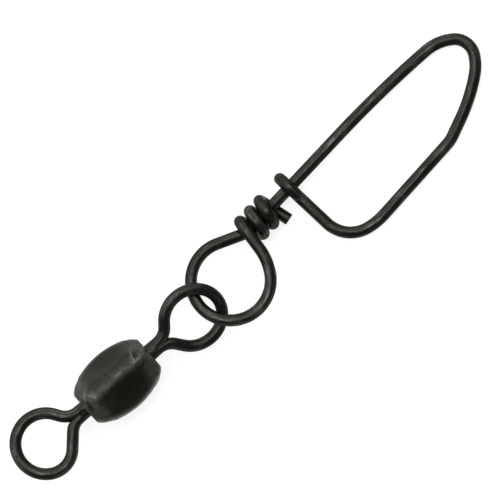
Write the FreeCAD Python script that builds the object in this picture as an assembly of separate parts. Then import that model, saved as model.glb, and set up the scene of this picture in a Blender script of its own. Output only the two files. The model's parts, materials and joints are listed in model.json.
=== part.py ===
import FreeCAD, Part
import math
import os

# A fishing snap swivel, lying on a table as it would be put down.
# A hollow swaged barrel lets two wire eyes spin on its axis. The line is tied to one eye.
# The other carries a snap, bent from one spring wire: a wrapped loop and a long hooked clip.
# Lengths are millimetres, angles are degrees.
# X runs along the barrel from the line eye to the snap, and Z points up.

V = FreeCAD.Vector
origin = V(0, 0, 0)
axis_x = V(1, 0, 0)
axis_y = V(0, 1, 0)
axis_z = V(0, 0, 1)

# Barrel
barrel_length = 6.95
belly_r = 2.725           # the barrel's radius at its middle
shoulder_from_end = 0.86  # where the bowed belly passes into the rounder shoulder
shoulder_drop = 0.54      # how much lower than the belly's middle that is
end_drop = 1.225          # how much lower the rim of the end face is
end_edge = 0.08           # broken edge of the bores
flat_depth = 0.38         # how deep the four press marks go at the belly's middle
flat_length = 4.0         # straight middle of each mark, which slopes down to both ends
flat_end_depth = 1.345    # how far below the belly's radius its sloping ends come
flat_count = 4
flat_turn = 37.0          # the first press mark, from straight up
belly_wall = 0.495        # metal left between each mark and the cavity
end_wall = 0.85           # metal at each end, along the bore
seat_length = 0.75        # length of the cone that each head bears on

# Eyes
eye_wire_d = 1.0
ring_hole_r = 2.0         # the hole in each eye
eye_reach = 8.1           # barrel centre to ring centre with the eye drawn out
push_in = 0.3             # how far the line eye is pushed in, within its end play
leg_bend_r = 1.6
leg_centre = 0.235        # each leg's own centre, off the shank's axis
shank_r = 0.7235          # the two half-round legs together
seam = 0.05               # the slit between the two legs
coined_length = 0.55      # where the round wire is pressed into a half round
shank_fit = 0.06          # air round the shank in its bore, on the radius
head_side_gap = 0.45      # air between the head's rim and the cavity's wall
head_rim = 0.55           # straight rim of the head
head_gap = 0.06           # air between head and seat, along the axis
head_edge = 0.12

line_eye_upper_lean = 57.0
line_eye_lower_lean = 47.0
line_eye_low_r = 2.1      # tighter centreline radius on the line eye's lower side
line_eye_low_from = 60.0  # where that side starts, past the ring's far point
snap_eye_upper_lean = 54.0
snap_eye_lower_lean = 56.0
snap_eye_offset = -0.19   # ring centre to the side of the axis

# Snap wire
snap_wire_d = 1.0
wrap_gap = 0.05           # air between the stem and what is wrapped round it
wrap_pitch = 1.165
wrap_turns = 2.5
tail_length = 1.85        # cut end that sticks out under the last turn
loop_hole_r = 2.78
loop_shoulder_r = 5.0     # the loop's right side opens out before the first turn
loop_shoulder_turn = 25.8
loop_lean = 26.4          # slant of the loop's left side where it meets the stem
neck_bend_r = 2.2

stem_yaw = 5.6            # the stem points a little to the side of the barrel's axis
stem_to_hook = 5.15       # first turn to hook, along the stem
hook_to_bow = 5.95
bow_r = 101.0             # the stem's gentle bow
far_entry_r = 4.0
far_entry_turn = 35.5
far_nose_r = 1.635
far_nose_turn = 28.6      # past the point farthest from the barrel
far_exit_r = 4.15
far_exit_turn = 22.7
far_ease_r = 14.4
far_ease_turn = 14.8
slant_length = 1.6        # straight run before the kink
kink_r = 3.0
kink_turn = 17.0
low_entry_r = 5.9
low_entry_turn = 17.0
low_bend_r = 2.8
hook_curl = 200.0
hook_tip = 0.95           # straight end past the hook
tip_round = 0.3
cut_edge = 0.06           # broken edge of the cut tail

# How the pieces lie together
link_slack = 0.48         # air between the loop and the eye it hangs in, along X
link_side = 0.06          # loop centre to the side of the barrel's axis
link_clearance = 0.09     # least air where the loop and the eye cross

# Worked out from the sizes above
eye_wire_r = eye_wire_d / 2
snap_wire_r = snap_wire_d / 2
ring_r = ring_hole_r + eye_wire_r
loop_r = loop_hole_r + snap_wire_r
wrap_r = snap_wire_d + wrap_gap
bore_r = shank_r + shank_fit
end_face_r = belly_r - end_drop
flat_end_r = belly_r - flat_end_depth
cavity_r = belly_r - flat_depth - belly_wall
head_r = cavity_r - head_side_gap
half_length = barrel_length / 2
tiny = 1e-6


def turned(vector, about, degrees):
    return FreeCAD.Rotation(about, degrees).multVec(vector)


def line(a, b):
    return Part.LineSegment(a, b).toShape()


def arc(a, middle, b):
    return Part.Arc(a, middle, b).toShape()


class WirePath:
    # The centre line of a bent wire, made the way a wire bender works:
    # feed it straight, bend it round a pin, or roll it to bend in another plane.

    def __init__(self, at, heading, up):
        self.at = at
        self.heading = heading
        self.up = up
        self.edges = []

    def feed(self, length):
        end = self.at + self.heading * length
        if length > tiny:
            self.edges.append(line(self.at, end))
        self.at = end

    def bend(self, radius, degrees):
        # A positive bend goes left, seen with up towards the eye.
        side = self.up.cross(self.heading)
        centre = self.at + side * math.copysign(radius, degrees)
        spoke = self.at - centre
        middle = centre + turned(spoke, self.up, degrees / 2)
        end = centre + turned(spoke, self.up, degrees)
        self.edges.append(arc(self.at, middle, end))
        self.at = end
        self.heading = turned(self.heading, self.up, degrees)
        return centre

    def roll(self, degrees):
        self.up = turned(self.up, self.heading, degrees)


def two_feeds(gap, first, second):
    # The lengths along two headings that together cover the gap.
    cross = first.cross(second)
    square = cross.dot(cross)
    along_first = gap.cross(second).dot(cross) / square
    along_second = first.cross(gap).dot(cross) / square
    return along_first, along_second


def round_wire(edges, radius):
    # One solid of round wire along straights, arcs and helices that run on smoothly.
    pieces = []
    for edge in edges:
        start = edge.valueAt(edge.FirstParameter)
        heading = edge.tangentAt(edge.FirstParameter)
        ring = Part.Wire([Part.Circle(start, heading, radius).toShape()])
        curve = edge.Curve
        if isinstance(curve, Part.Line):
            far = edge.valueAt(edge.LastParameter)
            pieces.append(Part.Face(ring).extrude(far - start))
        elif isinstance(curve, Part.Circle):
            sweep = math.degrees(edge.LastParameter - edge.FirstParameter)
            pieces.append(Part.Face(ring).revolve(curve.Center, curve.Axis, sweep))
        else:
            pieces.append(Part.Wire([edge]).makePipeShell([ring], True, True))
    return pieces[0].multiFuse(pieces[1:])


def edge_at(shape, point, reach):
    # The round edge of a cut wire end, found by where its middle lies.
    found = []
    for edge in shape.Edges:
        if edge.Closed and (edge.CenterOfMass - point).Length < reach:
            found.append(edge)
    return found


def barrel_outline():
    # Half of the outline, from the belly's middle to the end face, in X and radius.
    # One arc bows down to the shoulder, and a tighter one runs on smoothly to the end face.
    shoulder = V(half_length - shoulder_from_end, belly_r - shoulder_drop, 0)
    belly_arc_r = (shoulder.x**2 + shoulder_drop**2) / (2 * shoulder_drop)
    belly_centre = V(0, belly_r - belly_arc_r, 0)
    outward = (shoulder - belly_centre).normalize()
    belly_middle = belly_centre + (V(0, 1, 0) + outward).normalize() * belly_arc_r
    end_corner = V(half_length, end_face_r, 0)
    to_end = end_corner - shoulder
    shoulder_arc_r = -to_end.dot(to_end) / (2 * to_end.dot(outward))
    shoulder_centre = shoulder - outward * shoulder_arc_r
    to_corner = (end_corner - shoulder_centre).normalize()
    shoulder_middle = shoulder_centre + (outward + to_corner).normalize() * shoulder_arc_r
    return [
        arc(V(0, belly_r, 0), belly_middle, shoulder),
        arc(shoulder, shoulder_middle, end_corner),
        line(end_corner, V(half_length, 0, 0)),
        line(V(half_length, 0, 0), origin),
        line(origin, V(0, belly_r, 0)),
    ]


def turned_solid(edges):
    return Part.Face(Part.Wire(edges)).revolve(origin, axis_x, 360)


def both_ends(half):
    return half.fuse(half.mirror(origin, axis_x))


def press_mark(turn):
    # A block whose lower face lies flat across the belly and slopes down to both ends.
    flat_z = belly_r - flat_depth
    corners = [
        V(-half_length, -belly_r, flat_end_r),
        V(-flat_length / 2, -belly_r, flat_z),
        V(flat_length / 2, -belly_r, flat_z),
        V(half_length, -belly_r, flat_end_r),
        V(half_length, -belly_r, 2 * belly_r),
        V(-half_length, -belly_r, 2 * belly_r),
    ]
    profile = Part.Face(Part.makePolygon(corners + corners[:1]))
    return profile.extrude(V(0, 2 * belly_r, 0)).rotate(origin, axis_x, turn)


def barrel():
    body = both_ends(turned_solid(barrel_outline())).removeSplitter()
    for i in range(flat_count):
        body = body.cut(press_mark(flat_turn + i * 360 / flat_count))
    seat_x = half_length - end_wall
    cavity = turned_solid([
        line(V(0, 0, 0), V(seat_x, 0, 0)),
        line(V(seat_x, 0, 0), V(seat_x, bore_r, 0)),
        line(V(seat_x, bore_r, 0), V(seat_x - seat_length, cavity_r, 0)),
        line(V(seat_x - seat_length, cavity_r, 0), V(0, cavity_r, 0)),
        line(V(0, cavity_r, 0), V(0, 0, 0)),
    ])
    bore = turned_solid([
        line(V(0, 0, 0), V(half_length, 0, 0)),
        line(V(half_length, 0, 0), V(half_length, bore_r + end_edge, 0)),
        line(V(half_length, bore_r + end_edge, 0), V(half_length - end_edge, bore_r, 0)),
        line(V(half_length - end_edge, bore_r, 0), V(0, bore_r, 0)),
        line(V(0, bore_r, 0), V(0, 0, 0)),
    ])
    return body.cut(both_ends(cavity)).cut(both_ends(bore)).removeSplitter()


def half_disc(x, radius, centre_y):
    # The part above the slit of a disc across the shank at x, as a closed wire.
    slit = seam / 2
    half_chord = math.sqrt(radius**2 - (slit - centre_y) ** 2)
    left = V(x, slit, -half_chord)
    right = V(x, slit, half_chord)
    top = V(x, centre_y + radius, 0)
    return Part.Wire([arc(left, top, right), line(right, left)])


def leg_path(lean, side_r, offset, until):
    # The upper leg and its side of the ring, from the pressed part of the shank outwards.
    # The ring's centre is at the origin, and the barrel lies towards negative X.
    # A leg that leans too far to meet the ring is given the steepest lean that still does.
    steepest = math.degrees(math.acos((leg_centre + leg_bend_r - offset) / (leg_bend_r + side_r)))
    lean = min(lean, steepest)
    cos_lean = math.cos(math.radians(lean))
    sin_lean = math.sin(math.radians(lean))
    rise = leg_centre + leg_bend_r * (1 - cos_lean) - side_r * cos_lean
    straight = (offset - rise) / sin_lean
    run = leg_bend_r * sin_lean + straight * cos_lean + side_r * sin_lean
    path = WirePath(V(-run, leg_centre, 0), axis_x, axis_z)
    path.bend(leg_bend_r, lean)
    path.feed(straight)
    path.bend(side_r, -lean - until)
    return path, -run


def eye_leg(lean, side_r, turn_start, offset):
    # One leg with its half of the ring, above the slit.
    # A tighter side runs on smoothly from the ring's own radius at turn_start past the far point.
    blend = V(math.cos(math.radians(turn_start)), math.sin(math.radians(turn_start)), 0)
    side_centre = blend * (ring_r - side_r) + V(0, offset, 0)
    path, start_x = leg_path(lean, side_r, side_centre.y, 90 - turn_start)
    for edge in path.edges:
        edge.translate(V(side_centre.x, 0, 0))
    start_x = start_x + side_centre.x
    ring_centre = V(0, offset, 0)
    if turn_start > tiny:
        middle = ring_centre + turned(axis_x, axis_z, turn_start / 2) * ring_r
        path.edges.append(arc(ring_centre + blend * ring_r, middle, ring_centre + axis_x * ring_r))
    wire = round_wire(path.edges, eye_wire_r)
    slab = Part.makeBox(eye_reach, ring_r, 2 * eye_wire_d)
    slab.translate(V(-eye_reach, seam / 2 - ring_r, -eye_wire_d))
    wire = wire.cut(slab)
    coined_x = start_x - coined_length
    coined = Part.makeLoft([
        half_disc(start_x, eye_wire_r, leg_centre),
        half_disc(coined_x, shank_r, 0),
    ], True, True)
    head_x = half_length - end_wall - head_gap - eye_reach
    shank = Part.Face(half_disc(coined_x, shank_r, 0)).extrude(V(head_x - coined_x, 0, 0))
    slope = seat_length / (cavity_r - bore_r)
    rim_x = head_x - (head_r - bore_r) * slope
    inner_x = rim_x - head_rim
    head = turned_solid([
        line(V(head_x, 0, 0), V(head_x, shank_r, 0)),
        line(V(head_x, shank_r, 0), V(rim_x, head_r, 0)),
        line(V(rim_x, head_r, 0), V(inner_x + head_edge, head_r, 0)),
        line(V(inner_x + head_edge, head_r, 0), V(inner_x, head_r - head_edge, 0)),
        line(V(inner_x, head_r - head_edge, 0), V(inner_x, 0, 0)),
        line(V(inner_x, 0, 0), V(head_x, 0, 0)),
    ])
    below = Part.makeBox(eye_reach, 2 * head_r, 2 * head_r)
    below.translate(V(-eye_reach, seam / 2 - 2 * head_r, -head_r))
    return wire.multiFuse([coined, shank, head.cut(below)])


def eye(upper_lean, lower_lean, low_r, low_from, offset):
    # The whole eye with its ring flat in XY, the ring centre at eye_reach from the barrel.
    upper = eye_leg(upper_lean, ring_r, 0, offset)
    lower = eye_leg(lower_lean, low_r, low_from, -offset).mirror(origin, axis_y)
    shape = upper.fuse(lower).removeSplitter()
    shape.translate(V(eye_reach, 0, 0))
    return shape


def snap_paths():
    # The snap's centre line with the stem in the XY plane and the first turn over the origin.
    # Returns its edges, the loop's centre, the slope of the clip and the clip's far point.
    along = V(math.cos(math.radians(stem_yaw)), math.sin(math.radians(stem_yaw)), 0)
    across = axis_z.cross(along)
    lead = math.degrees(math.atan(wrap_pitch / (2 * math.pi * wrap_r)))

    # Wraps round the stem, from the top of the first turn to the underside of the last
    turns = Part.makeHelix(wrap_pitch, wrap_pitch * wrap_turns, wrap_r, 0, True)
    turns.Placement = FreeCAD.Placement(origin, FreeCAD.Rotation(axis_z, -across, along, "ZXY"))
    tail_start = along * (wrap_pitch * wrap_turns) - axis_z * wrap_r
    tail = WirePath(tail_start, turned(-across, axis_z, lead), axis_z)
    tail.feed(tail_length)

    # Loop, from the first turn back to the stem, dropping to the stem's height on its way
    def loop_path(right_side, left_side):
        path = WirePath(axis_z * wrap_r, turned(-across, axis_z, -lead), axis_z)
        path.feed(right_side)
        path.bend(loop_shoulder_r, -loop_shoulder_turn)
        path.bend(loop_r, lead + loop_shoulder_turn - 90)
        drop = math.degrees(math.asin(wrap_r / (2 * loop_r)))
        path.roll(drop)
        centre = path.bend(loop_r, -180)
        path.roll(drop)
        path.bend(loop_r, -loop_lean)
        path.feed(left_side)
        path.bend(neck_bend_r, loop_lean)
        return path, centre

    bare, bare_centre = loop_path(0, 0)
    neck_end = along * (neck_bend_r * math.tan(math.radians(loop_lean / 2)))
    right_side, left_side = two_feeds(
        neck_end - bare.at, turned(-across, axis_z, -lead), turned(along, axis_z, -loop_lean)
    )
    loop, loop_centre = loop_path(right_side, left_side)

    # Stem and far bend, to the point farthest from the barrel
    stem = WirePath(neck_end, along, axis_z)
    stem.feed(stem_to_hook - neck_end.Length + hook_to_bow)
    stem.bend(bow_r, -stem_yaw)
    stem.bend(far_entry_r, -far_entry_turn)
    stem.bend(far_nose_r, far_entry_turn - 90)
    far_point = stem.at
    hook_point = along * stem_to_hook
    slope = math.degrees(math.atan(wrap_r / (far_point.x - hook_point.x)))

    # Long side, lying lower than the stem, and the arm that passes under the stem
    def clip_path(long_side, arm):
        path = WirePath(far_point, -axis_y, axis_z)
        path.roll(slope)
        path.bend(far_nose_r, -far_nose_turn)
        path.bend(far_exit_r, -far_exit_turn)
        path.bend(far_ease_r, -far_ease_turn)
        path.feed(slant_length)
        path.bend(kink_r, -kink_turn)
        path.feed(long_side)
        long_heading = path.heading
        path.bend(low_entry_r, -low_entry_turn)
        turned_so_far = far_nose_turn + far_exit_turn + far_ease_turn + kink_turn + low_entry_turn
        path.bend(low_bend_r, turned_so_far + stem_yaw - 180)
        path.feed(arm)
        return path, long_heading

    bare, long_heading = clip_path(0, 0)
    under_hook = hook_point - axis_z * wrap_r
    long_side, arm = two_feeds(under_hook - bare.at, long_heading, bare.heading)
    clip, long_heading = clip_path(long_side, arm)
    clip.roll(90)
    clip.bend(wrap_r, hook_curl)
    clip.feed(hook_tip)

    edges = tail.edges + turns.Edges + loop.edges + stem.edges + clip.edges
    ends = {"tail": tail.at, "tip": clip.at}
    lengths = {"right side": right_side, "left side": left_side, "long side": long_side, "arm": arm}
    return edges, loop.edges, loop_centre, slope, far_point, ends, lengths


def snap():
    # The bent wire as it lies: long side and arm on the table, stem rising towards the wraps.
    edges, loop_edges, loop_centre, slope, far_point, ends, lengths = snap_paths()
    wire = round_wire(edges, snap_wire_r)
    wire = wire.makeFillet(tip_round, edge_at(wire, ends["tip"], snap_wire_r))
    wire = wire.makeChamfer(cut_edge, edge_at(wire, ends["tail"], snap_wire_r))
    tip_down = FreeCAD.Rotation(axis_y, slope)
    centre = tip_down.multVec(loop_centre)
    far = tip_down.multVec(far_point)
    loop_x = eye_reach + ring_hole_r - link_slack - snap_wire_r + loop_r
    move = V(loop_x - centre.x, link_side - centre.y, snap_wire_r - far.z)
    place = FreeCAD.Placement(move, tip_down)
    wire.Placement = place.multiply(wire.Placement)
    loop = Part.Wire(Part.__sortEdges__(loop_edges))
    loop.Placement = place.multiply(loop.Placement)
    print("straight runs of the snap:", {k: round(v, 3) for k, v in lengths.items()})
    print("slope of the stem:", round(slope, 3), "first turn over", place.multVec(origin))
    return wire, loop


def snap_eye_roll(loop, axis_height):
    # The snap eye lies rolled on the barrel's axis just far enough for its wire to pass
    # over one side of the loop and under the other.
    needed = eye_wire_r + snap_wire_r + link_clearance
    ring = Part.Circle(V(eye_reach, snap_eye_offset, 0), axis_z, ring_r).toShape()

    def room(roll):
        rolled = ring.rotated(origin, axis_x, roll)
        rolled.translate(V(0, 0, axis_height))
        return rolled.distToShape(loop)[0]

    low = 0.0
    high = 90.0
    for _ in range(12):
        middle = (low + high) / 2
        if room(middle) < needed:
            low = middle
        else:
            high = middle
    return high


def main():
    os.makedirs("parts", exist_ok=True)
    body = barrel()
    axis_height = -body.BoundBox.ZMin
    snap_wire, loop = snap()
    roll = snap_eye_roll(loop, axis_height)

    line_eye = eye(
        line_eye_upper_lean, line_eye_lower_lean, line_eye_low_r, line_eye_low_from, 0
    )
    line_eye.translate(V(-push_in, 0, 0))
    line_eye.rotate(origin, axis_z, 180)
    line_eye.rotate(origin, axis_x, 180)
    snap_eye = eye(snap_eye_upper_lean, snap_eye_lower_lean, ring_r, 0, snap_eye_offset)
    snap_eye.rotate(origin, axis_x, roll)

    lift = V(0, 0, axis_height)
    for shape in (body, line_eye, snap_eye):
        shape.translate(lift)
    nodes = {"barrel": body, "line_eye": line_eye, "snap_eye": snap_eye, "snap": snap_wire}

    box = FreeCAD.BoundBox()
    for shape in nodes.values():
        box.add(shape.optimalBoundingBox(False))
    home = V(-box.Center.x, -box.Center.y, -box.ZMin)
    for name, shape in nodes.items():
        shape.translate(home)
        solids = shape.Solids
        print(name, "solids", len(solids), "valid", shape.isValid(), "volume", round(shape.Volume, 4))
        solids[0].exportStep("parts/" + name + ".step")

    ring_centre = V(eye_reach, 0, 0) + turned(V(0, snap_eye_offset, 0), axis_x, roll)
    hinge_at = ring_centre + lift + home
    hinge_axis = turned(axis_z, axis_x, roll)
    print("barrel centre", lift + home)
    print("snap hinge at", hinge_at, "axis", hinge_axis, "roll", round(roll, 2))
    print("overall", box.XLength, box.YLength, box.ZLength)


main()
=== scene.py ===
import json
import math

import bpy
import numpy as np
from mathutils import Matrix, Vector


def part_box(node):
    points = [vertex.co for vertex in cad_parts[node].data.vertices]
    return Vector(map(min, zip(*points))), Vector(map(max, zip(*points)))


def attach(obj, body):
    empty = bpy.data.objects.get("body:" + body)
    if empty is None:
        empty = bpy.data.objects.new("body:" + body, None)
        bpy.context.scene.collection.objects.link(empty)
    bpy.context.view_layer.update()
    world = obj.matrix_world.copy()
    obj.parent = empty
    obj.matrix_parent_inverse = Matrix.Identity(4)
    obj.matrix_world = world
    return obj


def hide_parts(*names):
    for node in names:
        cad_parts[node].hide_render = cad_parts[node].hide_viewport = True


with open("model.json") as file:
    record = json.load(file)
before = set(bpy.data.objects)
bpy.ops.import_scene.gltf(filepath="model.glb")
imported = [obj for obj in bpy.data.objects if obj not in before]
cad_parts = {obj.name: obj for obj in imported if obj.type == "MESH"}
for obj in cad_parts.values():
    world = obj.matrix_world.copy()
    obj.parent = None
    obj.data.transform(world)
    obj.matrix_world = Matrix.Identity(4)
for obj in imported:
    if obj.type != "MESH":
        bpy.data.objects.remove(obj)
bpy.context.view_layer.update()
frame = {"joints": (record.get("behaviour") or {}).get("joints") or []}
print("frame loaded")

# A snap swivel lying on a pale table: a pressed barrel, two wire eyes that spin in it,
# and a snap bent from one wire. Shapes are worked out in millimetres and stored in metres.
millimetre = 0.001
xAxis = np.array([1.0, 0.0, 0.0])
yAxis = np.array([0.0, 1.0, 0.0])
zAxis = np.array([0.0, 0.0, 1.0])

barrelLow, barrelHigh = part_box("barrel")
barrelCentre = (np.array(barrelLow) + np.array(barrelHigh)) / 2 / millimetre
joints = {joint["name"]: joint for joint in frame["joints"]}
swingAxis = joints["snap_swing"]["axis"]
snapEyeRoll = math.degrees(math.atan2(-swingAxis[1], swingAxis[2]))


# Paths and surfaces

def spin(vectors, axis, degrees):
    # Turned vector = v cos + (axis x v) sin + axis (axis . v)(1 - cos).
    # Axis and angle are each one for all the vectors, or one for every vector.
    angle = np.radians(np.asarray(degrees, float))[..., None]
    vectors = np.asarray(vectors, float)
    lengthwise = np.sum(vectors * axis, -1, keepdims=True) * axis
    turned = vectors * np.cos(angle) + np.cross(axis, vectors) * np.sin(angle)
    return turned + lengthwise * (1 - np.cos(angle))


def smoothMin(a, b, soft):
    # Half of (a + b - sqrt((a - b)^2 + soft^2)): the lower of the two, with a rounded corner.
    return 0.5 * (a + b - np.sqrt((a - b) ** 2 + soft**2))


def smoothMax(a, b, soft):
    # The higher of the two, with a rounded corner.
    return -smoothMin(-a, -b, soft)


def rise(value, low, high):
    # 3 t^2 - 2 t^3 with t going from 0 to 1 between low and high.
    t = np.clip((value - low) / (high - low), 0, 1)
    return t * t * (3 - 2 * t)


def bell(distance, width):
    # exp(-(distance / width)^2): 1 in the middle, fading out past the width.
    return np.exp(-((distance / width) ** 2))


class BentWire:
    # The centre line of a wire that is fed straight, bent round a pin or rolled.
    # The mark is a line on the wire's skin that follows it without twisting.
    leastFeed = 0.001

    def __init__(self, at, heading, up, spacing):
        self.at = np.array(at, float)
        self.heading = np.array(heading, float)
        self.up = np.array(up, float)
        self.mark = self.up.copy()
        self.spacing = spacing
        self.points = [self.at[None, :]]
        self.headings = [self.heading[None, :]]
        self.marks = [self.mark[None, :]]

    def keep(self, points, headings, marks):
        self.points.append(points[1:])
        self.headings.append(headings[1:])
        self.marks.append(marks[1:])
        self.at, self.heading, self.mark = points[-1], headings[-1], marks[-1]

    def feed(self, length):
        # at + heading times t, t from 0 to the length.
        if length < self.leastFeed:
            return
        count = max(2, int(math.ceil(length / self.spacing)) + 1)
        t = np.linspace(0, length, count)[:, None]
        same = np.ones((count, 1))
        self.keep(self.at + self.heading * t, self.heading * same, self.mark * same)

    def coil(self, pivot, axis, degrees, advance=0.0):
        # Everything turns about the axis and moves along it. The mark turns back by the part of
        # that turn which lies along the wire, so that it does not twist.
        spoke = self.at - pivot
        length = math.hypot(math.radians(degrees) * np.linalg.norm(np.cross(axis, spoke)), advance)
        count = max(3, int(math.ceil(length / self.spacing)) + 1)
        turn = np.linspace(0, degrees, count)
        shift = np.linspace(0, advance, count)[:, None] * axis
        points = pivot + spin(np.tile(spoke, (count, 1)), axis, turn) + shift
        headings = spin(np.tile(self.heading, (count, 1)), axis, turn)
        backTurn = -turn * np.dot(axis, self.heading)
        untwisted = spin(np.tile(self.mark, (count, 1)), self.heading, backTurn)
        marks = spin(untwisted, axis, turn)
        self.up = spin(self.up, axis, degrees)
        self.keep(points, headings, marks)

    def bend(self, radius, degrees):
        # A positive bend goes left, seen with up towards the eye.
        pivot = self.at + np.cross(self.up, self.heading) * math.copysign(radius, degrees)
        self.coil(pivot, self.up, degrees)
        return pivot

    def roll(self, degrees):
        self.up = spin(self.up, self.heading, degrees)

    def rows(self):
        return sum(len(points) for points in self.points)

    def line(self):
        return np.vstack(self.points), np.vstack(self.headings), np.vstack(self.marks)


def joinLines(first, second):
    # Two centre lines that leave one point in opposite directions, as one line. The first one's
    # marks turn about the wire until both lines have the same mark at that point.
    points, headings, marks = first
    morePoints, moreHeadings, moreMarks = second
    backHeadings = -headings[::-1]
    sine = np.dot(np.cross(marks[0], moreMarks[0]), moreHeadings[0])
    turn = math.degrees(math.atan2(sine, np.dot(marks[0], moreMarks[0])))
    backMarks = spin(marks[::-1], backHeadings, turn)
    return (np.vstack([points[::-1], morePoints[1:]]), np.vstack([backHeadings, moreHeadings[1:]]),
            np.vstack([backMarks, moreMarks[1:]]))


def alongLine(points):
    # Distance from the first point, measured along the line.
    steps = np.linalg.norm(np.diff(points, axis=0), axis=1)
    return np.concatenate([[0.0], np.cumsum(steps)])


def wireGrid(line, radii, around):
    # Ring point = centre + radius (cos a mark + sin a side), with a going once round
    # and side = heading x mark.
    points, headings, marks = line
    angle = np.linspace(0, 2 * math.pi, around, endpoint=False)
    sides = np.cross(headings, marks)
    cosPart = np.cos(angle)[None, :, None] * marks[:, None]
    sinPart = np.sin(angle)[None, :, None] * sides[:, None]
    return points[:, None] + (cosPart + sinPart) * radii[..., None], angle


def skinCoordinates(line, angle, radius):
    # For the finish: how far along the wire, and the place round it as a flat pair, all in mm.
    far = alongLine(line[0])
    rows, columns = len(far), len(angle)
    return np.stack([
        np.tile(far[:, None], (1, columns)),
        np.tile(radius * np.cos(angle)[None, :], (rows, 1)),
        np.tile(radius * np.sin(angle)[None, :], (rows, 1)),
    ], -1)


def makePiece(name, grid, attributes, closedAlong=False):
    # A grid of points, rows along the piece and columns round it. The columns close on themselves.
    # The rows close too on a ring; otherwise a point at the middle of each end row closes the end.
    rows, columns = grid.shape[:2]

    def perVertex(values):
        listed = values.reshape(rows * columns, -1)
        if closedAlong:
            return listed
        middles = np.stack([values[0].mean(0), values[-1].mean(0)])
        return np.vstack([listed, middles.reshape(2, -1)])

    row = np.arange(rows if closedAlong else rows - 1)[:, None]
    column = np.arange(columns)[None, :]
    nextRow = (row + 1) % rows
    nextColumn = (column + 1) % columns
    corners = (row * columns + column, row * columns + nextColumn,
               nextRow * columns + nextColumn, nextRow * columns + column)
    faces = np.stack(corners, -1).reshape(-1, 4).tolist()
    if not closedAlong:
        ring = np.arange(columns)
        following = (ring + 1) % columns
        lastRow = (rows - 1) * columns
        middle = np.full(columns, rows * columns)
        faces += np.stack([middle, following, ring], -1).tolist()
        faces += np.stack([middle + 1, lastRow + ring, lastRow + following], -1).tolist()
    mesh = bpy.data.meshes.new(name)
    mesh.from_pydata((perVertex(grid) * millimetre).tolist(), [], faces)
    mesh.polygons.foreach_set("use_smooth", np.ones(len(faces), bool))
    for key, values in attributes.items():
        values = perVertex(values).astype(np.float32)
        kind, part = ("FLOAT_VECTOR", "vector") if values.shape[1] == 3 else ("FLOAT", "value")
        layer = mesh.attributes.new(key, kind, "POINT")
        layer.data.foreach_set(part, values.ravel())
    mesh.update()
    piece = bpy.data.objects.new(name, mesh)
    bpy.context.scene.collection.objects.link(piece)
    return piece


def finished(piece, material, node):
    # Each node is a body of its own, so a piece rides on what it replaces.
    piece.data.materials.append(material)
    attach(piece, node)
    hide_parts(node)


# Node maths

class Value:
    # A shader socket, with Math nodes behind the usual signs.
    def __init__(self, finish, socket):
        self.finish = finish
        self.socket = socket

    def maths(self, operation, *terms):
        return self.finish.node("ShaderNodeMath", {"operation": operation}, dict(enumerate(terms)))

    def __add__(self, other):
        return self.maths("ADD", self, other)

    def __radd__(self, other):
        return self.maths("ADD", other, self)

    def __sub__(self, other):
        return self.maths("SUBTRACT", self, other)

    def __rsub__(self, other):
        return self.maths("SUBTRACT", other, self)

    def __mul__(self, other):
        return self.maths("MULTIPLY", self, other)

    def __rmul__(self, other):
        return self.maths("MULTIPLY", other, self)

    def atLeast(self, other):
        return self.maths("MAXIMUM", self, other)

    def between(self, limits):
        # 0 below the first limit, 1 above the second, smooth in between.
        low, high = limits
        return self.finish.node("ShaderNodeMapRange", {"interpolation_type": "SMOOTHSTEP"},
                                {"Value": self, "From Min": low, "From Max": high})


class Finish:
    # One material and its nodes.
    def __init__(self, name):
        self.material = bpy.data.materials.new(name)
        self.material.use_nodes = True
        self.tree = self.material.node_tree
        self.tree.nodes.clear()

    def node(self, kind, settings, sockets, output=0):
        # The settings come first, then a value or a link for each socket that is named.
        made = self.tree.nodes.new(kind)
        for key, value in settings.items():
            setattr(made, key, value)
        for key, value in sockets.items():
            if isinstance(value, Value):
                self.tree.links.new(value.socket, made.inputs[key])
            else:
                made.inputs[key].default_value = value
        return Value(self, made.outputs[output])

    def attribute(self, name, output):
        return self.node("ShaderNodeAttribute", {"attribute_name": name}, {}, output)

    def vector(self, operation, first, second):
        return self.node("ShaderNodeVectorMath", {"operation": operation}, {0: first, 1: second})

    def noise(self, place, pattern):
        # A pattern is its cells to the mm along three directions, its octaves and their roughness.
        cells, octaves, roughness = pattern
        return self.node("ShaderNodeTexNoise", {}, {
            "Vector": self.vector("MULTIPLY", place, cells), "Scale": 1.0,
            "Detail": octaves, "Roughness": roughness,
        })

    def mix(self, amount, first, second):
        return self.node("ShaderNodeMix", {"data_type": "RGBA"}, {0: amount, 6: first, 7: second}, 2)

    def bump(self, height):
        # Height in mm.
        return self.node("ShaderNodeBump", {}, {"Strength": 1.0, "Distance": millimetre, "Height": height})

    def surface(self, shader):
        end = self.tree.nodes.new("ShaderNodeOutputMaterial")
        self.tree.links.new(shader.socket, end.inputs["Surface"])
        return self.material


noiseMiddle = 0.5

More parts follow.
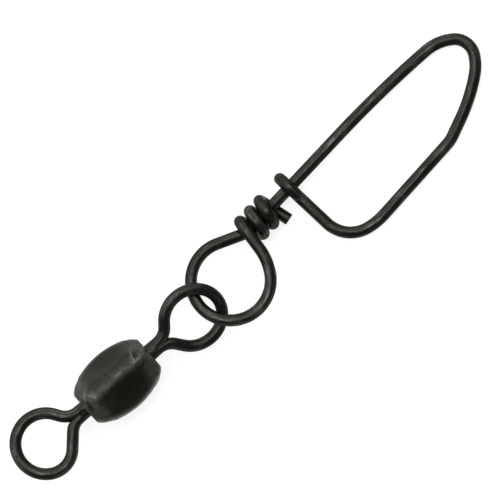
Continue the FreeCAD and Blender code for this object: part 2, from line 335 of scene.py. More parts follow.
wireFinish = {
    "dark": (0.0130, 0.0135, 0.0105, 1.0),
    "plain": (0.0255, 0.0261, 0.0227, 1.0),
    "pale": (0.0850, 0.0863, 0.0780, 1.0),
    "deep": (0.0040, 0.0042, 0.0033, 1.0),      # painted shade between the wraps, along the eyes' slits and under the hook's tip
    "edge": (0.38, 0.39, 0.355, 1.0),           # tint of the skin where it is seen edge on
    "metallic": 0.75,
    # cells to the mm along the wire and twice across it, octaves, roughness of the octaves
    "lines": ((0.12, 5.5, 5.5), 4.0, 0.6),
    "flecks": ((0.7, 5.0, 5.0), 3.0, 0.6),
    "waves": ((0.35, 2.2, 2.2), 3.0, 0.55),
    "patches": ((0.75, 1.2, 1.2), 4.0, 0.65),
    "grain": ((8.0, 8.0, 8.0), 3.0, 0.65),
    "pits": ((3.8, 3.8, 3.8), 2.0, 0.5),
    "pitLimits": (0.60, 0.72),
    # shares in the tone, and the tones between which one colour passes into the next
    "patchTone": 0.7,
    "lineTone": 0.7,
    "fleckTone": 0.9,
    "waveTone": 0.4,
    "grainTone": 0.2,
    "plainLimits": (-0.34, 0.02),
    "paleLimits": (0.03, 0.30),
    "pitDark": 0.6,
    "paintedShadeDark": 0.85,
    "roughness": 0.23,
    "patchRough": 0.35,
    "lineRough": 0.2,
    "pitRough": 0.12,
    "paintedShadeRough": 0.25,
    # heights in mm
    "lineHeight": 0.010,
    "waveHeight": 0.022,
    "fleckHeight": 0.006,
    "grainHeight": 0.002,
    "pitHeight": 0.010,
}


def platedWire(name, look, shift):
    # Black plating on drawn wire: long fine lines, soft patches of tone, and small pits, with painted
    # shade between the wraps, along the eyes' slits and under the hook's tip.
    f = Finish(name)
    skin = f.vector("ADD", f.attribute("skin", "Vector"), (shift, 0.0, 0.0))
    paintedShade = f.attribute("paintedShade", "Fac")
    lines = f.noise(skin, look["lines"]) - noiseMiddle
    flecks = f.noise(skin, look["flecks"]) - noiseMiddle
    waves = f.noise(skin, look["waves"]) - noiseMiddle
    patches = f.noise(skin, look["patches"]) - noiseMiddle
    grain = f.noise(skin, look["grain"]) - noiseMiddle
    pits = f.noise(skin, look["pits"]).between(look["pitLimits"])
    tone = (patches * look["patchTone"] + lines * look["lineTone"] + flecks * look["fleckTone"]
            + waves * look["waveTone"] + grain * look["grainTone"])
    colour = f.mix(tone.between(look["plainLimits"]), look["dark"], look["plain"])
    colour = f.mix(tone.between(look["paleLimits"]), colour, look["pale"])
    colour = f.mix(pits * look["pitDark"], colour, look["dark"])
    # painted shade darkens the colour between the wraps, along the eyes' slits and under the hook's tip
    colour = f.mix(paintedShade * look["paintedShadeDark"], colour, look["deep"])
    roughness = (look["roughness"] + patches * look["patchRough"] + lines * look["lineRough"]
                 + pits * look["pitRough"] + paintedShade * look["paintedShadeRough"])
    height = (lines * look["lineHeight"] + waves * look["waveHeight"] + flecks * look["fleckHeight"]
              + grain * look["grainHeight"] - pits * look["pitHeight"])
    shader = f.node("ShaderNodeBsdfPrincipled", {}, {
        "Base Color": colour, "Metallic": look["metallic"], "Roughness": roughness,
        "Normal": f.bump(height), "Specular Tint": look["edge"],
    })
    return f.surface(shader)


barrelFinish = {
    "dark": (0.0080, 0.0085, 0.0045, 1.0),
    "plain": (0.0180, 0.0187, 0.0130, 1.0),
    "pale": (0.0860, 0.0882, 0.0745, 1.0),
    "metallic": 0.6,
    "gloss": 0.28,
    # cells to the mm along x, y and z, octaves, roughness of the octaves
    "drawn": ((0.5, 3.0, 3.0), 3.0, 0.6),
    "patches": ((1.1, 1.1, 1.1), 4.0, 0.65),
    "grain": ((7.0, 7.0, 7.0), 3.0, 0.65),
    "pits": ((3.2, 3.2, 3.2), 2.0, 0.5),
    "pitLimits": (0.62, 0.74),
    # shares in the tone, and the tones between which one colour passes into the next
    "patchTone": 0.5,
    "drawnTone": 0.3,
    "grainTone": 0.3,
    "wearAndHighlightTone": 0.50,
    "markShadeTone": 0.36,
    "plainLimits": (-0.42, 0.05),
    "paleLimits": (0.08, 0.50),
    "pitDark": 0.5,
    "roughness": 0.33,
    "patchRough": 0.3,
    "pitRough": 0.1,
    "wearAndHighlightSmooth": 0.06,
    "markShadeRough": 0.06,
    # heights in mm
    "drawnHeight": 0.008,
    "patchHeight": 0.020,
    "grainHeight": 0.002,
    "pitHeight": 0.010,
}


def platedBarrel(name, look):
    # Black plating on pressed metal: paler along the worn ridges and ends, with painted highlights on the
    # ridges and creases, and painted shade darker in the flats and hollows.
    f = Finish(name)
    place = f.vector("MULTIPLY", f.node("ShaderNodeTexCoord", {}, {}, "Object"), (1 / millimetre,) * 3)
    pressAndShade = f.attribute("pressAndShade", "Fac")
    wearAndHighlight = f.attribute("wearAndHighlight", "Fac")
    drawn = f.noise(place, look["drawn"]) - noiseMiddle
    patches = f.noise(place, look["patches"]) - noiseMiddle
    grain = f.noise(place, look["grain"]) - noiseMiddle
    pits = f.noise(place, look["pits"]).between(look["pitLimits"])
    tone = (patches * look["patchTone"] + drawn * look["drawnTone"] + grain * look["grainTone"]
            + wearAndHighlight * look["wearAndHighlightTone"] - pressAndShade * look["markShadeTone"])
    colour = f.mix(tone.between(look["plainLimits"]), look["dark"], look["plain"])
    colour = f.mix(tone.between(look["paleLimits"]), colour, look["pale"])
    colour = f.mix(pits * look["pitDark"], colour, look["dark"])
    roughness = (look["roughness"] + patches * look["patchRough"] + pits * look["pitRough"]
                 - wearAndHighlight * look["wearAndHighlightSmooth"] + pressAndShade * look["markShadeRough"])
    height = (drawn * look["drawnHeight"] + patches * look["patchHeight"] + grain * look["grainHeight"]
              - pits * look["pitHeight"])
    shader = f.node("ShaderNodeBsdfPrincipled", {}, {
        "Base Color": colour, "Metallic": look["metallic"], "Roughness": roughness,
        "Normal": f.bump(height), "Specular IOR Level": look["gloss"],
    })
    return f.surface(shader)


# Barrel

barrel = {
    "length": 6.95,
    "bellyRadius": 2.725,
    "shoulderFromEnd": 0.86,    # where the bowed belly passes into the rounder shoulder
    "shoulderDrop": 0.54,
    "endFaceRadius": 1.5,
    "edge": 0.08,
    "markDepth": 0.38,          # four flats pressed into the belly
    "markLength": 4.0,          # straight middle of each flat
    "markEase": 0.5,            # how softly the middle passes into the sloping ends
    "markEndRadius": 1.38,      # how near the axis its sloping ends come
    "markTurn": 37.0,
    "markReach": 1.4,           # radians either way round within which a flat is met
    "markFar": 99.0,            # how far out it stands where it is not met
    "markDish": 0.03,           # how hollow each flat is
    "dishCut": 0.36,            # how deep a flat cuts where it is fully hollow
    "markSoft": 0.16,           # how softly the flats run into the belly
    "rimWidth": 0.3,            # the creases and hollows fade out over this near the end faces
    "creaseHeight": 0.035,
    "creaseWidth": 0.13,
    "hollowDepth": 0.07,
    "endRings": (1.35, 1.25, 1.0),  # radii of the mesh's rings on each end face
    "boreRing": 0.45,           # how far from the end face the bore has one
    "cavityRing": 0.6,          # and from the middle the cavity
    "boreRadius": 0.7835,
    "cavityRadius": 1.85,
    "endWall": 0.85,
    "seatLength": 0.75,
    "cornerStep": 0.02,         # how close together the rings stand at an inner corner
    "rows": 190,
    "around": 300,
}

wearAndPaintedLight = {
    # How dark painted shade makes each place, and how pale wear and painted highlights make it, from 0 to
    # 1.
    # Places and widths are in mm; what goes round the barrel inside a mark is in radians.
    # an oval of painted shade on each flat
    "shadeOvalMiddle": (0.55, -0.15),
    "shadeOvalHalf": (1.65, 0.52),
    "ridgeHighlight": 0.6,              # a painted highlight along the ridge between two marks
    "ridgeHighlightWidth": 0.15,
    "ridgeHighlightMiddle": 0.45,
    "ridgeHighlightHalf": 0.5,
    "ridge": 0.34,
    "ridgeWidth": 0.55,
    "corner": 0.75,             # the ridge's two ends
    "cornerWidth": 0.8,
    "cornerFrom": 1.4,
    "cornerTo": 2.4,
    "end": 0.4,
    "endFrom": 1.5,
    "endTo": 2.5,
    # painted highlight along each crease
    "crease": 0.85,
    "creaseSide": 0.5,
    "creaseSideWidth": 0.4,
    "hollowLess": 0.7,          # how far a hollow is kept from the wear and painted highlights
    # painted shade in each hollow
    "hollowShade": 0.4,
}

pinches = [
    # Where two marks meet near an end: a crease through three points, painted pale as a highlight, and a
    # hollow beside it, painted darker as shade.
    # Points are x and mm along the skin from the turn given, towards +Y on top of the barrel.
    {"turn": 0.0, "crease": [(2.33, 1.05), (2.18, 0.21), (3.20, 0.24)],
     "hollow": (2.50, 0.62), "size": (0.20, 0.22)},
    {"turn": 0.0, "crease": [(-2.70, 0.80), (-2.36, 0.20), (-2.53, -0.42)],
     "hollow": (-3.02, 0.00), "size": (0.15, 0.42)},
    {"turn": 0.0, "crease": [(-2.62, 1.05), (-2.85, 0.85), (-3.05, 0.45)],
     "hollow": (-3.20, 0.70), "size": (0.18, 0.30)},
    {"turn": 88.0, "crease": [(2.30, 0.70), (2.16, 0.05), (2.95, -0.20)],
     "hollow": (2.55, 0.35), "size": (0.26, 0.24)},
    {"turn": 90.0, "crease": [(-2.10, 0.55), (-2.15, -0.10), (-2.80, -0.35)],
     "hollow": (-2.60, 0.15), "size": (0.30, 0.28)},
    {"turn": 180.0, "crease": [(2.25, -0.50), (2.10, 0.25), (2.80, 0.60)],
     "hollow": (2.52, 0.08), "size": (0.28, 0.26)},
    {"turn": 178.0, "crease": [(-2.20, 0.75), (-2.05, 0.15), (-2.95, 0.10)],
     "hollow": (-2.50, 0.48), "size": (0.24, 0.26)},
    {"turn": 270.0, "crease": [(2.10, 0.60), (2.12, 0.00), (2.75, -0.30)],
     "hollow": (2.55, 0.22), "size": (0.30, 0.26)},
    {"turn": 268.0, "crease": [(-2.25, -0.40), (-2.08, 0.25), (-2.85, 0.55)],
     "hollow": (-2.52, 0.10), "size": (0.28, 0.28)},
]


def barrelOutline(x):
    # Belly arc through the middle and the shoulder, then an arc tangent to it through the end's rim.
    b = barrel
    half = b["length"] / 2
    shoulderX = half - b["shoulderFromEnd"]
    shoulderR = b["bellyRadius"] - b["shoulderDrop"]
    bellyArc = (shoulderX**2 + b["shoulderDrop"] ** 2) / (2 * b["shoulderDrop"])
    sink = bellyArc - b["bellyRadius"]
    outX, outR = shoulderX / bellyArc, (shoulderR + sink) / bellyArc
    toEndX, toEndR = half - shoulderX, b["endFaceRadius"] - shoulderR
    shoulderArc = -(toEndX**2 + toEndR**2) / (2 * (toEndX * outX + toEndR * outR))
    centreX, centreR = shoulderX - outX * shoulderArc, shoulderR - outR * shoulderArc
    belly = np.sqrt(bellyArc**2 - np.minimum(np.abs(x), shoulderX) ** 2) - sink
    inside = np.maximum(shoulderArc**2 - (np.abs(x) - centreX) ** 2, 0)
    return np.where(np.abs(x) <= shoulderX, belly, centreR + np.sqrt(inside))


def toSegment(u, v, first, second):
    # Distance from (u, v) to a segment: |p - (a + t (b - a))|, with t kept from 0 to 1.
    du, dv = second[0] - first[0], second[1] - first[1]
    t = np.clip(((u - first[0]) * du + (v - first[1]) * dv) / (du * du + dv * dv), 0, 1)
    return np.hypot(u - first[0] - t * du, v - first[1] - t * dv)


def fromTurn(turn, start):
    # The turn from the start, in radians, the shorter way round.
    return np.radians((turn - start + 180) % 360 - 180)


def barrelSkin(x, turn):
    # Radius = outline, softly cut by four planes that slope down past their straight middles,
    # each a little hollow inside its mark, plus height exp(-(distance / width)^2) for a crease
    # and minus depth exp(-d^2) for a hollow, d being the distance over its half sizes.
    # Painted shade is exp(-d^4) in an oval on each mark, and darker still in the hollows. The paleness is
    # the most of a fading worn band along each ridge, a painted highlight at its middle, its corners, the
    # ends, and painted highlights on the creases.
    b, w = barrel, wearAndPaintedLight
    outline = barrelOutline(x)
    half = b["length"] / 2
    deepest = b["bellyRadius"] - b["markDepth"]
    slope = (deepest - b["markEndRadius"]) / (half - b["markLength"] / 2)
    height = deepest - slope * smoothMax(np.abs(x) - b["markLength"] / 2, 0.0, b["markEase"])
    radius = outline.copy()
    pressAndShade = np.zeros_like(radius)
    wearAndHighlight = np.zeros_like(radius)
    for markTurn in b["markTurn"] + np.arange(0, 360, 90):
        away = fromTurn(turn, markTurn)
        facing = np.maximum(np.cos(away), math.cos(b["markReach"]))
        plane = np.where(np.abs(away) < b["markReach"], height / facing, b["markFar"])
        plane = plane - b["markDish"] * rise(outline - plane, 0.0, b["dishCut"])
        radius = smoothMin(radius, plane, b["markSoft"])
        # painted shade in an oval on each flat
        oval = (((x - w["shadeOvalMiddle"][0]) / w["shadeOvalHalf"][0]) ** 2
                + ((away - w["shadeOvalMiddle"][1]) / w["shadeOvalHalf"][1]) ** 2)
        pressAndShade = np.maximum(pressAndShade, np.exp(-(oval**2)))
        fromRidge = outline * fromTurn(turn, markTurn + 45)
        # a painted highlight along the middle of each ridge, and a worn band along it
        lengthwise = np.exp(-(((x - w["ridgeHighlightMiddle"]) / w["ridgeHighlightHalf"]) ** 4))
        ridgeHighlight = w["ridgeHighlight"] * bell(fromRidge, w["ridgeHighlightWidth"]) * lengthwise
        band = w["ridge"] * bell(fromRidge, w["ridgeWidth"])
        nearEnds = rise(np.abs(x), w["cornerFrom"], w["cornerTo"])
        corners = w["corner"] * bell(fromRidge, w["cornerWidth"]) * nearEnds
        wearAndHighlight = np.maximum.reduce([wearAndHighlight, ridgeHighlight, band, corners])
    inside = rise(half - np.abs(x), 0.0, b["rimWidth"])
    for pinch in pinches:
        along = -radius * fromTurn(turn, pinch["turn"])
        first, second, third = pinch["crease"]
        near = np.minimum(toSegment(x, along, first, second), toSegment(x, along, second, third))
        crease = bell(near, b["creaseWidth"]) * inside
        off = np.hypot((x - pinch["hollow"][0]) / pinch["size"][0],
                       (along - pinch["hollow"][1]) / pinch["size"][1])
        hollow = np.exp(-(off**2)) * inside
        radius = radius + b["creaseHeight"] * crease - b["hollowDepth"] * hollow
        # the crease is painted pale as a highlight and paler beside it; the hollow is kept from that
        # paleness and gets painted shade
        beside = w["creaseSide"] * bell(near, w["creaseSideWidth"])
        wearAndHighlight = np.maximum.reduce([wearAndHighlight, w["crease"] * crease, beside])
        wearAndHighlight = wearAndHighlight * (1 - w["hollowLess"] * hollow * (1 - crease))
        pressAndShade = np.maximum(pressAndShade, w["hollowShade"] * hollow * (1 - crease))
    wearAndHighlight = np.maximum(wearAndHighlight, w["end"] * rise(np.abs(x), w["endFrom"], w["endTo"]))
    return np.minimum(radius, b["bellyRadius"]), pressAndShade, wearAndHighlight


def barrelInside():
    # The profile behind the skin, as x and radius: end face, edge, bore, cone and cavity,
    # from one end to the middle and back out to the other.
    b = barrel
    half, step = b["length"] / 2, b["cornerStep"]
    bore, cavity, edge = b["boreRadius"], b["cavityRadius"], b["edge"]
    wall = half - b["endWall"]
    seat = wall - b["seatLength"]
    oneEnd = [(half, ring) for ring in b["endRings"]] + [
        (half, bore + edge + step), (half - step, bore + edge - step / 2),
        (half - edge, bore + step / 2), (half - edge - step, bore), (half - b["boreRing"], bore),
        (wall + step, bore), (wall - step, bore + 1.5 * step),
        (seat + 1.5 * step, cavity - 1.5 * step), (seat - 1.5 * step, cavity),
        (b["cavityRing"], cavity),
    ]
    return np.array(oneEnd + [(-x, radius) for x, radius in oneEnd[::-1]])


def makeBarrel():
    # A closed profile, skin and inside, carried once round the axis:
    # point = (x, -radius sin turn, radius cos turn).
    b = barrel
    rows = b["rows"]
    skinX = b["length"] / 2 * np.sin(np.linspace(-math.pi / 2, math.pi / 2, rows))
    inner = barrelInside()
    turn = np.linspace(0, 360, b["around"], endpoint=False)
    x = np.concatenate([skinX, inner[:, 0]])[:, None] * np.ones_like(turn)
    radius = np.concatenate([np.zeros(rows), inner[:, 1]])[:, None] * np.ones_like(turn)
    pressAndShade = np.zeros_like(radius)
    wearAndHighlight = np.zeros_like(radius)
    radius[:rows], pressAndShade[:rows], wearAndHighlight[:rows] = barrelSkin(x[:rows], turn[None, :])
    angle = np.radians(turn)
    grid = np.stack([x, -radius * np.sin(angle), radius * np.cos(angle)], -1) + barrelCentre
    piece = makePiece("barrelShell", grid, {"pressAndShade": pressAndShade, "wearAndHighlight": wearAndHighlight}, closedAlong=True)
    finished(piece, platedBarrel("blackPressedMetal", barrelFinish), "barrel")


makeBarrel()
print("barrel made")


# Eyes

eye = {
    "wireRadius": 0.5,
    "ringRadius": 2.5,          # ring centre line
    "reach": 8.1,               # barrel centre to ring centre
    "legBend": 1.6,
    "legCentre": 0.235,         # half of the distance between the legs' centre lines
    "shankRadius": 0.7235,      # of the two half rounds together
    "clearance": 0.06,          # between the shank and the barrel's bore
    "slit": -0.008,             # half of the gap between the legs, just shut so no light shows through
    "slitEdge": 0.09,           # how round the legs' edges are along the slit
    "slitSoft": 0.01,
    "leastFacing": 0.02,        # a direction that faces the flat less than this never meets it,
    "flatFar": 9.0,             # and takes it as this far off
    "slitShadeReach": 0.22,       # how far from the slit the painted shade reaches
    "pressedLength": 0.55,      # over which a leg goes from round to half round
    "headRadius": 1.4,
    "headStart": 2.565,         # barrel centre to the head's bearing cone
    "coneSlope": 0.7032,        # length of cone for each mm of radius
    "rim": 0.55,
    "headEdge": 0.12,
    "spacing": 0.09,
    "around": 64,
}
# Each eye has its own leans, low side and turns. Slide is along the barrel, and the pattern
# shift is how far along its finish starts, so that no two wires look alike.
lineEye = {
    "upperLean": 57.0, "lowerLean": 47.0, "lowRadius": 2.1, "lowFrom": 60.0, "offset": 0.0,
    "slide": -0.3, "turns": [(zAxis, 180), (xAxis, 180)], "patternShift": 3.0,
}
snapEye = {
    "upperLean": 54.0, "lowerLean": 56.0, "lowRadius": 2.5, "lowFrom": 0.0, "offset": -0.19,
    "slide": 0.0, "turns": [(xAxis, snapEyeRoll)], "patternShift": 47.0,
}


def legMeasures(lean, sideRadius, offset):
    # The straight part of a leg, and how far its bend starts from the side arc's centre.
    e = eye
    cosLean, sinLean = math.cos(math.radians(lean)), math.sin(math.radians(lean))
    rest = offset - e["legCentre"] - e["legBend"] * (1 - cosLean) + sideRadius * cosLean
    straight = rest / sinLean
    return straight, e["legBend"] * sinLean + straight * cosLean + sideRadius * sinLean


def eyeGrid(shape):
    # One wire: head, shank, leg, ring, leg, shank, head. Its section goes from a round
    # to a half round with the flat towards the slit: radius = nearer of the arc and the flat.
    e = eye
    slit = e["slit"]
    blend = math.radians(shape["lowFrom"])
    shift = e["ringRadius"] - shape["lowRadius"]
    upStraight, upRun = legMeasures(shape["upperLean"], e["ringRadius"], shape["offset"])
    lowOffset = shift * math.sin(blend) - shape["offset"]
    lowStraight, lowRun = legMeasures(shape["lowerLean"], shape["lowRadius"], lowOffset)
    headRise = e["headRadius"] - e["shankRadius"] - e["clearance"]
    rimStart = e["headStart"] - headRise * e["coneSlope"]
    headEnd = rimStart - e["rim"]
    upShank = e["reach"] - upRun - headEnd
    lowShank = e["reach"] - lowRun + shift * math.cos(blend) - headEnd

    wire = BentWire((headEnd, e["legCentre"], 0), xAxis, zAxis, e["spacing"])
    wire.feed(upShank)
    wire.bend(e["legBend"], shape["upperLean"])
    wire.feed(upStraight)
    legRows = wire.rows()
    wire.bend(e["ringRadius"], -shape["upperLean"] - 90)
    if shape["lowFrom"]:
        wire.bend(e["ringRadius"], -shape["lowFrom"])
    wire.bend(shape["lowRadius"], shape["lowFrom"] - 90 - shape["lowerLean"])
    ringRows = wire.rows()
    wire.feed(lowStraight)
    wire.bend(e["legBend"], shape["lowerLean"])
    wire.feed(lowShank)

    line = wire.line()
    far = alongLine(line[0])
    rows = np.arange(len(far))
    firstHalf = rows < (legRows + ringRows) // 2
    fromHead = np.where(firstHalf, far, far[-1] - far)
    shank = np.where(firstHalf, upShank, lowShank)
    x = headEnd + fromHead
    angle = np.linspace(0, 2 * math.pi, e["around"], endpoint=False)
    away = -np.sin(angle)[None, :]
    cone = e["headRadius"] - (x - rimStart) / e["coneSlope"]
    edge = e["headRadius"] - e["headEdge"] + (x - headEnd)
    turned = np.clip(np.minimum(cone, edge), e["shankRadius"], e["headRadius"])
    c = e["legCentre"]
    arc = -c * away + np.sqrt(turned[:, None] ** 2 - c**2 * (1 - away**2))
    least = e["leastFacing"]
    flat = np.where(-away > least, (c - slit) / np.maximum(-away, least), e["flatFar"])
    halfRound = smoothMin(arc, flat, e["slitEdge"])
    pressAndShade = rise(shank - fromHead, 0.0, e["pressedLength"])[:, None]
    radii = e["wireRadius"] * (1 - pressAndShade) + halfRound * pressAndShade
    grid, angle = wireGrid(line, radii, e["around"])
    # both legs keep to their own side of the slit
    upper = rows < legRows
    lower = rows >= ringRows - 1
    grid[upper, :, 1] = smoothMax(grid[upper, :, 1], slit, e["slitSoft"])
    grid[lower, :, 1] = smoothMin(grid[lower, :, 1], -slit, e["slitSoft"])
    # painted shade along the slit between the pressed legs
    paintedShade = pressAndShade * rise(e["slitShadeReach"] - np.abs(grid[..., 1]), 0.0, e["slitShadeReach"])
    return grid, {"skin": skinCoordinates(line, angle, e["wireRadius"]), "paintedShade": paintedShade}


def makeEye(name, node, shape):
    grid, looks = eyeGrid(shape)
    grid = grid + xAxis * shape["slide"]
    for axis, degrees in shape["turns"]:
        grid = spin(grid, axis, degrees)
    piece = makePiece(name, grid + barrelCentre, looks)
    finished(piece, platedWire(name + "Plating", wireFinish, shape["patternShift"]), node)


makeEye("lineEyeWire", "line_eye", lineEye)
makeEye("snapEyeWire", "snap_eye", snapEye)
print("eyes made")


# Snap

snap = {
    "wireRadius": 0.5,
    "wrapRadius": 1.05,
    "wrapPitch": 1.165,
    "wrapTurns": 2.5,
    "tail": 1.85,
    "loopRadius": 3.28,
    "shoulderRadius": 5.0,
    "shoulderTurn": 25.8,
    "loopLean": 26.4,
    "neckBend": 2.2,
    "stemYaw": 5.6,
    "stemToHook": 5.15,
    "hookToBow": 5.95,
    "bow": 101.0,
    "farEntry": (4.0, 35.5),    # bends given as radius and turn
    "farNose": (1.635, 28.6),
    "farExit": (4.15, 22.7),
    "farEase": (14.4, 14.8),
    "slant": 1.6,
    "kink": (3.0, 17.0),
    "lowEntry": (5.9, 17.0),
    "lowBend": 2.8,
    "hookCurl": 200.0,
    "hookTip": 0.95,
    "tipRound": 0.42,
    "tipRings": 8,
    "tipStart": 8.0,            # degrees of the rounding at its first ring
    "cutEdge": 0.06,
    "cutStart": 1e-4,           # a first ring just off the wire's last, so that the edge stays sharp
    # each ring of the cut end's broken edge: how far out and how far in, as parts of the edge
    "cutRings": [(0.5, 0.15), (0.9, 0.6), (1.0, 1.0), (1.0, 2.0)],
    "cutFace": (0.5, 0.2),      # rings on the cut face, as parts of the wire's radius
    "loopCentre": (12.4, 0.06), # from the barrel's centre
    "patternShift": 91.0,
    "spacing": 0.09,
    "around": 48,
}

shade = {
    # Painted shade between the wraps, and the painted shadow of the hook's tip on the arm that runs on
    # under it.
    "wrapFrom": 1.25,           # from the stem's line, where the dark begins
    "wrapInside": 0.1,          # the dark is full this far inside the coil's ends
    "wrapOutside": 0.5,         # and gone this far outside them
    "tip": 0.8,
    "tipAhead": 0.55,
    "tipFrom": 1.25,
    "tipFull": 0.5,
}


def stemHeading():
    yaw = math.radians(snap["stemYaw"])
    return np.array([math.cos(yaw), math.sin(yaw), 0])


def twoFeeds(gap, first, second):
    # Lengths along two headings that together cover the gap.
    cross = np.cross(first, second)
    square = np.dot(cross, cross)
    return np.dot(np.cross(gap, second), cross) / square, np.dot(np.cross(first, gap), cross) / square


def snapLine():
    # The whole wire from the cut tail to the hook's tip, in the same bends as the solid.
    # Each closing pair of straights is worked out from a trial wire that leaves them out.
    s = snap
    along = stemHeading()
    across = np.cross(zAxis, along)
    lead = math.degrees(math.atan(s["wrapPitch"] / (2 * math.pi * s["wrapRadius"])))
    top = zAxis * s["wrapRadius"]
    loopHeading = spin(-across, zAxis, -lead)

    tail = BentWire(top, -loopHeading, zAxis, s["spacing"])
    tail.coil(np.zeros(3), along, -360 * s["wrapTurns"], s["wrapPitch"] * s["wrapTurns"])
    tail.feed(s["tail"])

    def loopWire(rightSide, leftSide):
        wire = BentWire(top, loopHeading, zAxis, s["spacing"])
        wire.feed(rightSide)
        wire.bend(s["shoulderRadius"], -s["shoulderTurn"])
        wire.bend(s["loopRadius"], lead + s["shoulderTurn"] - 90)
        drop = math.degrees(math.asin(s["wrapRadius"] / (2 * s["loopRadius"])))
        wire.roll(drop)
        centre = wire.bend(s["loopRadius"], -180)
        wire.roll(drop)
        wire.bend(s["loopRadius"], -s["loopLean"])
        wire.feed(leftSide)
        wire.bend(s["neckBend"], s["loopLean"])
        return wire, centre

    bare, _ = loopWire(0, 0)
    neckLength = s["neckBend"] * math.tan(math.radians(s["loopLean"] / 2))
    neckGap = along * neckLength - bare.at
    wire, loopCentre = loopWire(*twoFeeds(neckGap, loopHeading, spin(along, zAxis, -s["loopLean"])))

    wire.feed(s["stemToHook"] - neckLength + s["hookToBow"])
    wire.bend(s["bow"], -s["stemYaw"])
    wire.bend(s["farEntry"][0], -s["farEntry"][1])
    wire.bend(s["farNose"][0], s["farEntry"][1] - 90)
    farPoint = wire.at.copy()
    hookPoint = along * s["stemToHook"]
    slope = math.degrees(math.atan(s["wrapRadius"] / (farPoint[0] - hookPoint[0])))

    def clipWire(wire, longSide, arm):
        wire.roll(slope)
        wire.bend(s["farNose"][0], -s["farNose"][1])
        wire.bend(s["farExit"][0], -s["farExit"][1])
        wire.bend(s["farEase"][0], -s["farEase"][1])
        wire.feed(s["slant"])
        wire.bend(s["kink"][0], -s["kink"][1])
        wire.feed(longSide)
        longHeading = wire.heading.copy()
        wire.bend(s["lowEntry"][0], -s["lowEntry"][1])
        turned = sum(s[name][1] for name in ("farNose", "farExit", "farEase", "kink", "lowEntry"))
        wire.bend(s["lowBend"], turned + s["stemYaw"] - 180)
        wire.feed(arm)
        return longHeading

    trial = BentWire(farPoint, -yAxis, zAxis, s["spacing"])
    longHeading = clipWire(trial, 0, 0)
    underHook = hookPoint - zAxis * s["wrapRadius"]
    wire.up = zAxis.copy()
    clipWire(wire, *twoFeeds(underHook - trial.at, longHeading, trial.heading))
    wire.roll(90)
    wire.bend(s["wrapRadius"], s["hookCurl"])
    wire.feed(s["hookTip"])
    return joinLines(tail.line(), wire.line()), loopCentre, farPoint, slope


def addEnd(line, radius, rings, atStart=False):
    # Extra rings that close an end: each is how far it stands out from the end, and its radius.
    points, headings, marks = line
    i = 0 if atStart else -1
    out = -headings[i] if atStart else headings[i]
    far, sizes = np.array(rings).T
    same = np.ones((len(rings), 1))
    added = (points[i] + out * far[:, None], headings[i] * same, marks[i] * same)
    if atStart:
        return tuple(np.vstack([a[::-1], b]) for a, b in zip(added, line)), np.append(sizes[::-1], radius)
    return tuple(np.vstack([b, a]) for a, b in zip(added, line)), np.append(radius, sizes)


def snapShade(grid, tipEnd, tipHeading):
    # Painted shade: rises towards the stem's line along the length of the coil, between the wraps, and a
    # painted shadow rises towards a point just ahead of the hook's tip, where the tip shades the arm. The
    # coil starts at the origin and goes along the stem.
    along = stemHeading()
    lengthwise = grid @ along
    fromStem = np.linalg.norm(grid - lengthwise[..., None] * along, axis=-1)
    coilHalf = snap["wrapPitch"] * snap["wrapTurns"] / 2
    inCoil = rise(coilHalf - np.abs(lengthwise - coilHalf), -shade["wrapOutside"], shade["wrapInside"])
    wraps = rise(-fromStem, -shade["wrapFrom"], -snap["wireRadius"]) * inCoil
    fromTip = np.linalg.norm(grid - tipEnd - tipHeading * shade["tipAhead"], axis=-1)
    return np.maximum(wraps, shade["tip"] * rise(-fromTip, -shade["tipFrom"], -shade["tipFull"]))


def makeSnap():
    s = snap
    line, loopCentre, farPoint, slope = snapLine()
    r, edge, tipRound = s["wireRadius"], s["cutEdge"], s["tipRound"]
    far = alongLine(line[0])
    keepRows = (far >= edge) & (far <= far[-1] - tipRound)
    line = tuple(part[keepRows] for part in line)
    # the tail is cut square with a small broken edge
    cut = [(s["cutStart"], r)] + [(edge * out, r - edge * back) for out, back in s["cutRings"]]
    cut += [(edge, r * part) for part in s["cutFace"]]
    line, radius = addEnd(line, np.full(len(line[0]), r), cut, atStart=True)
    # the tip is rounded, and its flat middle has one more ring
    turn = np.radians(np.linspace(s["tipStart"], 90, s["tipRings"]))
    tip = [(tipRound * math.sin(a), r - tipRound * (1 - math.cos(a))) for a in turn]
    line, radius = addEnd(line, radius, tip + [(tipRound, (r - tipRound) / 2)])
    grid, angle = wireGrid(line, np.tile(radius[:, None], (1, s["around"])), s["around"])
    # painted shade between the wraps and the painted shadow of the hook's tip
    looks = {"skin": skinCoordinates(line, angle, r), "paintedShade": snapShade(grid, line[0][-1], line[1][-1])}
    # tilted until the far bend lies on the table with the loop in its eye
    centre = spin(loopCentre, yAxis, slope)
    lowest = spin(farPoint, yAxis, slope)
    move = np.append(np.array(s["loopCentre"]) - centre[:2] + barrelCentre[:2], r - lowest[2])
    piece = makePiece("snapWire", spin(grid, yAxis, slope) + move, looks)
    finished(piece, platedWire("snapWirePlating", wireFinish, s["patternShift"]), "snap")


makeSnap()
print("snap made")


# Table, light and camera

studio = {
    "floorSize": 6.0,           # m
    "floorColour": 0.30,
    "floorGlow": 0.80,
    "worldLight": 0.20,
}

lamps = {
    # direction to the lamp, distance and size in m, power in watts
    "softBox": {"towards": (0.0, 0.74, 1.0), "distance": 0.5, "size": (1.5, 0.98), "watts": 7.5},
    "stripLamp": {"towards": (0.0, 0.22, 1.0), "distance": 0.6, "size": (0.60, 0.05), "watts": 0.8},
}

view = {
    "pixelsPerMm": 12.2,
    "pixels": 500,
    "centre": (0.467, 1.148, 2.7),      # mm, what stands at the middle of the picture
    "right": (0.7524, -0.6587, 0.0),    # what points right and up in the picture
    "up": (0.6587, 0.7524, 0.0),
    "distance": 1.2,                    # m
    "sensor": 36.0,
    "clip": (0.01, 10.0),
}


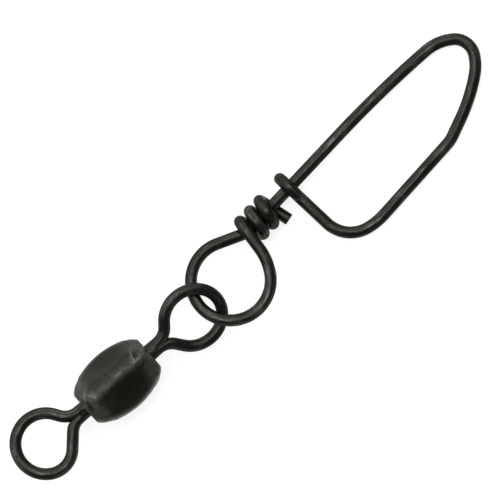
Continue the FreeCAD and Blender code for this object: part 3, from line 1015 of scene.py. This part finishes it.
def makeFloor():
    # A flat square. Camera and mirror rays see it white, apart from the object's soft shadow.
    half = studio["floorSize"] / 2
    mesh = bpy.data.meshes.new("table")
    corners = [(-half, -half, 0), (half, -half, 0), (half, half, 0), (-half, half, 0)]
    mesh.from_pydata(corners, [], [(0, 1, 2, 3)])
    floor = bpy.data.objects.new("table", mesh)
    bpy.context.scene.collection.objects.link(floor)
    f = Finish("paleTable")
    matt = f.node("ShaderNodeBsdfDiffuse", {}, {"Color": (studio["floorColour"],) * 3 + (1.0,)})
    camera = f.node("ShaderNodeLightPath", {}, {}, "Is Camera Ray")
    glossy = f.node("ShaderNodeLightPath", {}, {}, "Is Glossy Ray")
    through = f.node("ShaderNodeLightPath", {}, {}, "Is Transmission Ray")
    seen = camera.atLeast(glossy).atLeast(through)
    glow = f.node("ShaderNodeEmission", {}, {"Color": (1.0,) * 4, "Strength": seen * studio["floorGlow"]})
    floor.data.materials.append(f.surface(f.node("ShaderNodeAddShader", {}, {0: matt, 1: glow})))


def makeLamp(name, lamp):
    # A soft flat lamp that faces the object.
    light = bpy.data.lights.new(name, "AREA")
    light.shape = "RECTANGLE"
    light.size, light.size_y = lamp["size"]
    light.energy = lamp["watts"]
    holder = bpy.data.objects.new(name, light)
    towards = Vector(lamp["towards"]).normalized()
    holder.location = towards * lamp["distance"]
    holder.rotation_euler = (-towards).to_track_quat("-Z", "Y").to_euler()
    bpy.context.scene.collection.objects.link(holder)


def makeWorld():
    # An even white light from all round.
    world = bpy.data.worlds.new("studioWorld")
    bpy.context.scene.world = world
    world.use_nodes = True
    background = world.node_tree.nodes["Background"]
    background.inputs["Color"].default_value = (1.0, 1.0, 1.0, 1.0)
    background.inputs["Strength"].default_value = studio["worldLight"]


def makeCamera():
    # Straight down. Lens over sensor = distance over the width that is seen.
    v = view
    camera = bpy.data.cameras.new("camera")
    camera.sensor_width = v["sensor"]
    camera.lens = v["sensor"] * v["distance"] / (v["pixels"] / v["pixelsPerMm"] * millimetre)
    camera.clip_start, camera.clip_end = v["clip"]
    holder = bpy.data.objects.new("camera", camera)
    right, up = Vector(v["right"]).normalized(), Vector(v["up"]).normalized()
    back = right.cross(up)
    place = Vector(v["centre"]) * millimetre + back * v["distance"]
    turned = Matrix((right, up, back)).transposed().to_4x4()
    holder.matrix_world = Matrix.Translation(place) @ turned
    bpy.context.scene.collection.objects.link(holder)
    bpy.context.scene.camera = holder


makeFloor()
for name, lamp in lamps.items():
    makeLamp(name, lamp)
makeWorld()
makeCamera()
bpy.context.scene.view_settings.view_transform = "Standard"
print("studio made")
